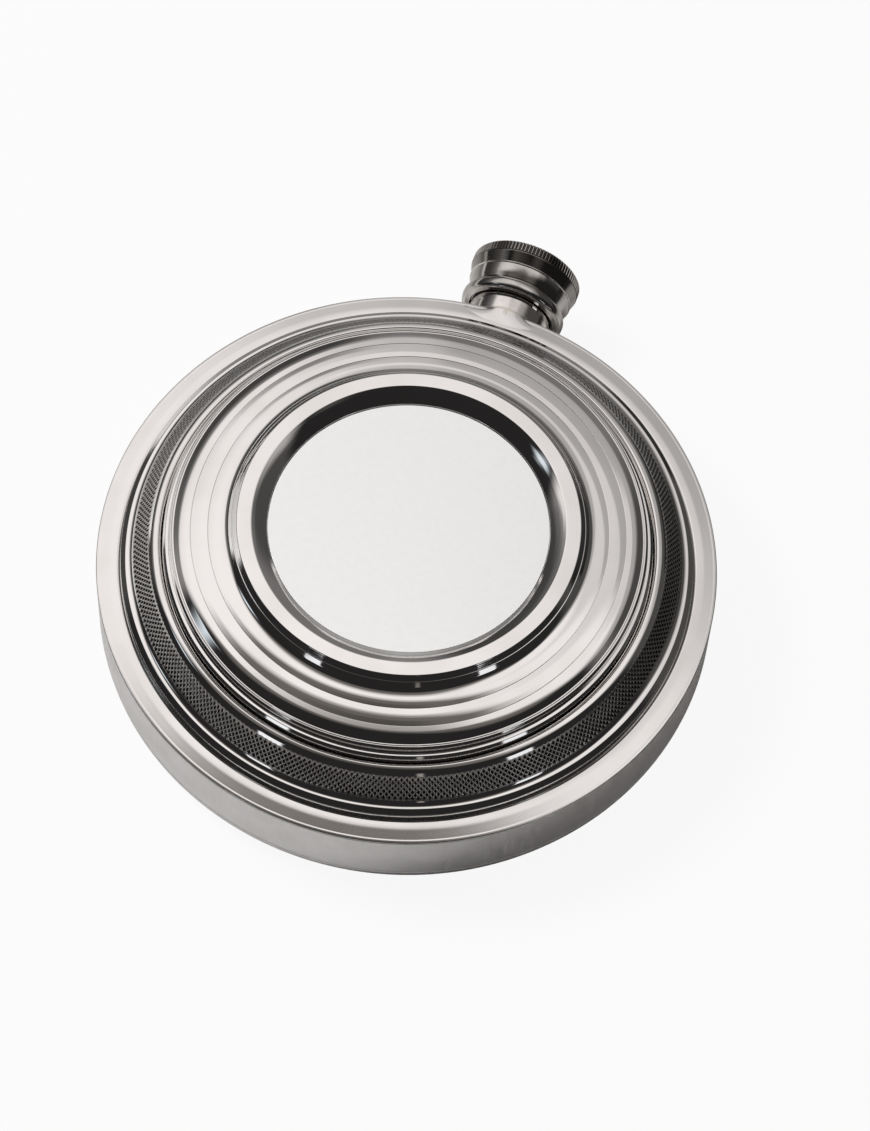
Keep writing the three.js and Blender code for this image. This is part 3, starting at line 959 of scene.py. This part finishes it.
pit_layer = bm.verts.layers.float.new(PIT_ATTRIBUTE)
pits, peaks = [], []
for vert in [vert for vert in bm.verts if on_knurl(vert)]:
    radius = math.hypot(vert.co.x, vert.co.y) / MM
    row = round((knurl_foot[0] - radius) / (knurl_foot[0] - knurl_top[0]) * KNURL_ROWS)
    column = round(math.atan2(vert.co.y, vert.co.x) / (2 * math.pi) * KNURL_COLUMNS)
    inner_row = 0 < row < KNURL_ROWS
    (pits if inner_row and (row + column) % 2 else peaks).append(vert)
bmesh.ops.connect_verts(bm, verts=peaks)
for vert in pits:
    outward = Vector((vert.co.x, vert.co.y, 0)).normalized()
    vert.co -= (outward * cone.y + FLASK_AXIS * -cone.x) * KNURL_DEPTH * MM
bm.normal_update()
print("knurl pits:", len(pits))

# %% [markdown]
# The ridges between the pits are worn round, so they are bevelled. Then every point of the band
# stores how deep it lies under the cone.

# %% Round the ridges
RIDGE_ROUND = 0.08
RIDGE_ANGLE = SHARP_ANGLE / 4

standing = set(peaks)
ridges = [
    edge for edge in bm.edges
    if all(vert in standing for vert in edge.verts) and edge.verts[0].co.z != edge.verts[1].co.z
    and len(edge.link_faces) == 2 and edge.calc_face_angle() > RIDGE_ANGLE
]
bmesh.ops.bevel(
    bm, geom=ridges, offset=RIDGE_ROUND * MM, offset_type="OFFSET", segments=2, profile=0.5,
    affect="EDGES", clamp_overlap=True, material=-1,
)
for vert in bm.verts:
    run = math.hypot(vert.co.x, vert.co.y) / MM - knurl_foot[0]
    rise = vert.co.z / MM - knurl_foot[1]
    depth = run * -cone.y + rise * cone.x
    if depth > 0:
        vert[pit_layer] = depth / KNURL_DEPTH
print("ridges rounded:", len(ridges))
finish_piece(bm, "knurled_ring", knurl_finish, "front_shell", "flask")

# %% [markdown]
# ## The centre disc
#
# A thin plain plate lies in the recess. Its rim is barely rounded, so a small bevel is enough to
# catch a line of light.

# %% Centre disc
DISC_GAP = 0.06
DISC_THICKNESS = 1.0
DISC_ROUND = 0.12
DISC_UNDER_ROUND = 0.1
PLAIN_STEPS = 240
disc_radius = disc_edge - DISC_GAP
bm = bmesh.new()
draw_profile(bm, [
    (0, disc_top, 0),
    (disc_radius, disc_top, DISC_ROUND),
    (disc_radius, disc_top - DISC_THICKNESS, DISC_UNDER_ROUND),
    (0, disc_top - DISC_THICKNESS, 0),
], on_flask, closed=False)
turn(bm, (0, 0, 0), FLASK_AXIS, PLAIN_STEPS)
finish_piece(bm, "centre_plate", disc_finish, "centre_disc", "flask")

# %% [markdown]
# ## Side band and back
#
# The band is a strip bent round and soldered, with its edges broken by a file. The back is a
# shallow pressed pan: one round corner between the wall and the flat.

# %% Side band
band_low, band_high = (corner.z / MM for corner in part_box("side_band"))
BAND_INNER = 51.0
BAND_EDGE = 0.18
BAND_INNER_EDGE = 0.1
NECK_HOLE_HALF = 3.9

hole_low, hole_high = NECK_HEIGHT - NECK_HOLE_HALF, NECK_HEIGHT + NECK_HOLE_HALF
bm = bmesh.new()
draw_profile(bm, [
    (BAND_INNER, band_low, BAND_INNER_EDGE),
    (FLASK_RADIUS, band_low, BAND_EDGE),
    (FLASK_RADIUS, hole_low, 0),
    (FLASK_RADIUS, hole_high, 0),
    (FLASK_RADIUS, band_high, BAND_EDGE),
    (BAND_INNER, band_high, BAND_INNER_EDGE),
    (BAND_INNER, hole_high, 0),
    (BAND_INNER, hole_low, 0),
], on_flask, closed=True)
turn(bm, (0, 0, 0), FLASK_AXIS, SPIN_STEPS)
print("band from", round(band_low, 2), "to", round(band_high, 2), "mm")

# %% [markdown]
# The neck's spigot goes through the band. Under the collar nobody sees the shape of the hole, so
# the faces there are taken out of both walls and the two openings are bridged.

# %% Hole for the neck
def under_collar(face):
    """True for a face of the band that the neck's collar hides."""
    middle = face.calc_center_median() / MM
    return middle.y > 0 and abs(middle.x) < NECK_HOLE_HALF and hole_low < middle.z < hole_high


hidden = [face for face in bm.faces if under_collar(face)]
bmesh.ops.delete(bm, geom=hidden, context="FACES")
bmesh.ops.bridge_loops(bm, edges=[edge for edge in bm.edges if edge.is_boundary])
bmesh.ops.recalc_face_normals(bm, faces=bm.faces[:])
finish_piece(bm, "side_wall", band_finish, "side_band", "flask")

# %% Back
BACK_DEPTH = 5.5
BACK_FLAT_RADIUS = 44.0
BACK_LIP = 6.2
BACK_CORNER_RUN = 3.2
BACK_CORNER_ROUND = 3.0
BACK_WALL_FOOT = 2.6
BACK_EDGE_ROUND = 0.12
BACK_INNER_RUN = 2.6 * SHEET
BACK_INNER_ROUNDS = (1.5, 1.0)

bm = bmesh.new()
draw_profile(bm, [
    (0, 0, 0),
    (BACK_FLAT_RADIUS + BACK_CORNER_RUN, 0, BACK_CORNER_ROUND),
    (FLASK_RADIUS, BACK_WALL_FOOT, BACK_WALL_FOOT),
    (FLASK_RADIUS, BACK_DEPTH, BACK_EDGE_ROUND),
    (LIP_OUTER, BACK_DEPTH, 0),
    (LIP_OUTER, BACK_LIP, 0),
    (LIP_INNER, BACK_LIP, 0),
    (FLASK_RADIUS - BACK_INNER_RUN, BACK_WALL_FOOT + SHEET, BACK_INNER_ROUNDS[0]),
    (BACK_FLAT_RADIUS, SHEET, BACK_INNER_ROUNDS[1]),
    (0, SHEET, 0),
], on_flask, closed=False)
turn(bm, (0, 0, 0), FLASK_AXIS, PLAIN_STEPS)
finish_piece(bm, "plain_back", back_finish, "back_shell", "flask")

# %% [markdown]
# ## Neck with its thread
#
# The neck is turned from one piece: a spigot through the band, a wide collar and a narrower
# threaded mouth. The thread is one small trapezoid that is spun and lifted at the same time, which
# is what a screw is.

# %% Neck
BORE_RADIUS = 3.2
SPIGOT_RADIUS = 3.8
NECK_RADIUS = 7.45
CORE_RADIUS = 5.6
NECK_FOOT = 51.85
COLLAR_TOP = 56.6
NECK_STEPS = 160
spigot_end, mouth_top = neck_low.y / MM, neck_high.y / MM
neck_centre = (0, 0, NECK_HEIGHT * MM)


def on_neck(radius, along_neck):
    """A profile point for a piece turned about the neck's axis."""
    return Vector((radius, along_neck, NECK_HEIGHT * MM))


bm = bmesh.new()
draw_profile(bm, [
    (BORE_RADIUS, spigot_end, 0.1),
    (SPIGOT_RADIUS, spigot_end, 0.1),
    (SPIGOT_RADIUS, NECK_FOOT, 0),
    (NECK_RADIUS, NECK_FOOT, 0),
    (NECK_RADIUS, COLLAR_TOP, 0.25),
    (CORE_RADIUS, COLLAR_TOP, 0.2),
    (CORE_RADIUS, mouth_top, 0.3),
    (BORE_RADIUS, mouth_top, 0.3),
], on_neck, closed=True)
turn(bm, neck_centre, NECK_AXIS, NECK_STEPS)
print("neck from", round(spigot_end, 2), "to", round(mouth_top, 2), "mm")

# %% Thread of the neck
THREAD_PITCH = 2.0
THREAD_CREST = 6.4
THREAD_EMBED = 0.2
THREAD_ROOT_HALF = 0.5
THREAD_CREST_HALF = 0.2
THREAD_START = 57.5
THREAD_TURNS = 2.1
THREAD_STEPS = 134

section = [
    bm.verts.new(on_neck(radius * MM, (THREAD_START + offset) * MM)) for radius, offset in (
        (CORE_RADIUS - THREAD_EMBED, -THREAD_ROOT_HALF),
        (THREAD_CREST, -THREAD_CREST_HALF),
        (THREAD_CREST, THREAD_CREST_HALF),
        (CORE_RADIUS - THREAD_EMBED, THREAD_ROOT_HALF),
    )
]
section_edges = [bm.edges.new(pair) for pair in zip(section, section[1:] + section[:1])]
lift_per_step = NECK_AXIS * THREAD_PITCH * MM * THREAD_TURNS / THREAD_STEPS
bmesh.ops.spin(
    bm, geom=section + section_edges, cent=neck_centre, axis=NECK_AXIS, dvec=lift_per_step,
    angle=2 * math.pi * THREAD_TURNS, steps=THREAD_STEPS, use_merge=False,
)
open_ends = [edge for edge in bm.edges if edge.is_boundary]
bmesh.ops.holes_fill(bm, edges=open_ends, sides=4)
bmesh.ops.recalc_face_normals(bm, faces=bm.faces[:])
finish_piece(bm, "threaded_neck", neck_finish, "neck_collar", "flask")

# %% [markdown]
# ## The soldered saddle of the neck
#
# Solder was filed into a soft saddle that climbs from the rim to the neck. It is a ring whose
# sections differ all the way round: on top it runs far onto the rim, on the sides it ends on the
# band. No single spin gives that, so circles of points are laid step by step down the curve from
# the neck to the foot, and each circle is bridged to the next.

# %% Saddle
SADDLE_POINTS = 96
SADDLE_STEPS = 9
SADDLE_LIP_RADIUS = 7.50
SADDLE_LIP = 52.95
SADDLE_FLARE = 10.2
SADDLE_REACH = 2.9
SADDLE_WAVE = 0.16
# waves round the lip, shift in radians, size
SADDLE_WAVES = ((5, 0.6, 1.0), (11, 2.0, 0.6))
SADDLE_OVERLAP = 0.05
NECK_PULL = 0.12
FOOT_PULL = 0.62
UNDER_REACH = 0.8
RIM_SLOPE_RUN = 2.8
RIM_SLOPE_RISE = 0.50
BACK_EDGE = 4.4
SADDLE_LOWEST = BACK_EDGE - 1.4


def saddle_foot(angle):
    """Where the solder ends on the flask, in mm, for an angle round the neck."""
    across = SADDLE_FLARE * math.cos(angle)
    height = NECK_HEIGHT + SADDLE_FLARE * math.sin(angle)
    on_band = math.sqrt(FLASK_RADIUS ** 2 - across ** 2)
    over_rim = max(0.0, (height - RIM_HEIGHT) / (NECK_HEIGHT + SADDLE_FLARE - RIM_HEIGHT))
    under = max(0.0, (BACK_EDGE - height) / BACK_EDGE)
    along_neck = on_band - SADDLE_REACH * math.sqrt(over_rim) - UNDER_REACH * under
    rim_share = (FLASK_RADIUS - math.hypot(across, along_neck)) / RIM_SLOPE_RUN
    rim_surface = RIM_HEIGHT + RIM_SLOPE_RISE * min(1.0, max(0.0, rim_share))
    return Vector((across, along_neck, max(min(height, rim_surface), SADDLE_LOWEST)))


def saddle_point(angle, share):
    """A point of the saddle: share 0 is the lip on the neck, share 1 the foot on the flask."""
    ripple = sum(size * math.sin(count * angle + shift) for count, shift, size in SADDLE_WAVES)
    ring = Vector((math.cos(angle), 0, math.sin(angle))) * SADDLE_LIP_RADIUS
    lip = ring + Vector((0, SADDLE_LIP + SADDLE_WAVE * ripple, NECK_HEIGHT))
    foot = saddle_foot(angle)
    down_neck = ring + Vector((0, lip.y + NECK_PULL * (foot.y - lip.y), NECK_HEIGHT))
    pulled_to = Vector((ring.x, lip.y if foot.z > RIM_HEIGHT else foot.y, foot.z))
    up_foot = foot + FOOT_PULL * (pulled_to - foot)
    first = lip.lerp(down_neck, share)
    middle = down_neck.lerp(up_foot, share)
    last = up_foot.lerp(foot, share)
    return first.lerp(middle, share).lerp(middle.lerp(last, share), share) * MM


def saddle_inner(angle):
    """The hidden side of the solder, against the neck."""
    ring = Vector((math.cos(angle), 0, math.sin(angle))) * (NECK_RADIUS - SADDLE_OVERLAP)
    return (ring + Vector((0, saddle_foot(angle).y, NECK_HEIGHT))) * MM


def laid_circle(bm, points, place):
    """A circle of edges whose points are laid where place(angle) says."""
    verts = bmesh.ops.create_circle(bm, segments=points, radius=1.0)["verts"]
    edges = list({edge for vert in verts for edge in vert.link_edges})
    for vert in verts:
        vert.co = place(math.atan2(vert.co.y, vert.co.x))
    return edges


bm = bmesh.new()
saddle_loops = []
for step in range(SADDLE_STEPS + 1):
    share = step / SADDLE_STEPS
    saddle_loops.append(laid_circle(bm, SADDLE_POINTS, lambda angle: saddle_point(angle, share)))
saddle_loops.append(laid_circle(bm, SADDLE_POINTS, saddle_inner))
for upper, lower in zip(saddle_loops, saddle_loops[1:] + saddle_loops[:1]):
    bmesh.ops.bridge_loops(bm, edges=upper + lower)
bmesh.ops.recalc_face_normals(bm, faces=bm.faces[:])
lip_layer = bm.verts.layers.float.new(LIP_ATTRIBUTE)
for vert in bm.verts:
    vert[lip_layer] = max(0.0, 1.0 - abs(vert.co.y / MM - SADDLE_LIP) / LIP_WIDTH)
finish_piece(bm, "neck_saddle", saddle_finish, "neck_solder_fillet", "flask")

# %% [markdown]
# ## The cap
#
# The cap is turned too: a rolled bead at its mouth, a groove, a waist that widens gently upwards, a
# thin raised line, a flare and an edge with fine upright teeth for the fingers. Of each four
# columns of the spin two are pushed in, which leaves a flat land on every tooth.

# %% Cap
cap_low, cap_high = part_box("cap_shell")
CAP_BOTTOM = cap_low.y / MM
CAP_FLANGE = cap_high.x / MM
CAP_CROWN = 0.3
CAP_TOP = cap_high.y / MM - CAP_CROWN
CAP_MOUTH = 7.75
CAP_CAVITY = 7.7
CAP_CEILING = 64.6
CAP_BEAD = 9.45
CAP_WAIST = 8.55
CAP_LINE = CAP_BOTTOM + 5.35
CAP_TEETH_LOW = CAP_TOP - 2.1
CAP_TEETH = 96
COLUMNS_PER_TOOTH = 4

cap_corners = {
    "ceiling middle": (0, CAP_CEILING, 0),
    "ceiling corner": (CAP_CAVITY, CAP_CEILING, 0.2),
    "cavity foot": (CAP_CAVITY, CAP_BOTTOM + 0.8, 0),
    "mouth step": (CAP_MOUTH, CAP_BOTTOM + 0.7, 0),
    "mouth": (CAP_MOUTH, CAP_BOTTOM, 0.2),
    "bead underside": (CAP_BEAD - 0.45, CAP_BOTTOM, 0.5),
    "bead": (CAP_BEAD, CAP_BOTTOM + 1.0, 0.9),
    "bead shoulder": (CAP_BEAD - 0.2, CAP_BOTTOM + 2.1, 0.5),
    "groove": (CAP_WAIST - 0.06, CAP_BOTTOM + 2.55, 0.08),
    "waist foot": (CAP_WAIST + 0.03, CAP_BOTTOM + 2.72, 0.1),
    "waist": (CAP_WAIST + 0.50, CAP_BOTTOM + 4.2, 0.8),
    "under the line": (CAP_WAIST + 0.65, CAP_LINE - 0.12, 0.06),
    "line low": (CAP_WAIST + 0.85, CAP_LINE, 0.05),
    "line high": (CAP_WAIST + 0.85, CAP_LINE + 0.15, 0.05),
    "flare foot": (CAP_WAIST + 0.58, CAP_LINE + 0.22, 0.05),
    "flare": (CAP_FLANGE - 0.05, CAP_TEETH_LOW - 0.1, 0.12),
    "nick under the teeth": (CAP_FLANGE - 0.28, CAP_TEETH_LOW - 0.02, 0.03),
    "teeth low": (CAP_FLANGE, CAP_TEETH_LOW + 0.06, 0),
    "teeth high": (CAP_FLANGE, CAP_TOP - 0.55, 0),
    "end bevel": (CAP_FLANGE - 0.28, CAP_TOP - 0.2, 0.1),
    "end face": (CAP_FLANGE - 0.7, CAP_TOP, 0.2),
    "end middle": (0, CAP_TOP + CAP_CROWN, 0),
}
cap_columns = COLUMNS_PER_TOOTH * CAP_TEETH
bm = bmesh.new()
draw_profile(bm, cap_corners.values(), on_neck, closed=False)
turn(bm, neck_centre, NECK_AXIS, cap_columns)
print("cap from", round(CAP_BOTTOM, 2), "to", round(CAP_TOP + CAP_CROWN, 2), "mm")

# %% Teeth of the cap
TOOTH_DEPTH = 0.26
SUNK_COLUMNS = 2
EDGE_SLACK = 0.01

for vert in bm.verts:
    spoke = Vector((vert.co.x, 0, vert.co.z - NECK_HEIGHT * MM))
    on_edge = spoke.length > (CAP_FLANGE - EDGE_SLACK) * MM
    column = round(math.atan2(spoke.z, spoke.x) / (2 * math.pi) * cap_columns)
    if on_edge and column % COLUMNS_PER_TOOTH < SUNK_COLUMNS:
        vert.co -= spoke.normalized() * TOOTH_DEPTH * MM
finish_piece(bm, "screw_cap", cap_finish, "cap_shell", "cap")

# %% [markdown]
# ## The hidden pieces
#
# What stays hidden, the solder inside, the sleeve and the seal, keeps its CAD solid and only gets a
# finish.

# %% Finish the hidden pieces
hidden_finishes = {
    "front_seam_solder": solder_finish,
    "back_seam_solder": solder_finish,
    "cap_thread_sleeve": sleeve_finish,
    "cap_seal": seal_finish,
}
for node_name, finish in hidden_finishes.items():
    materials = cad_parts[node_name].data.materials
    materials.clear()
    materials.append(finish)
    print(node_name, "gets", finish.name)
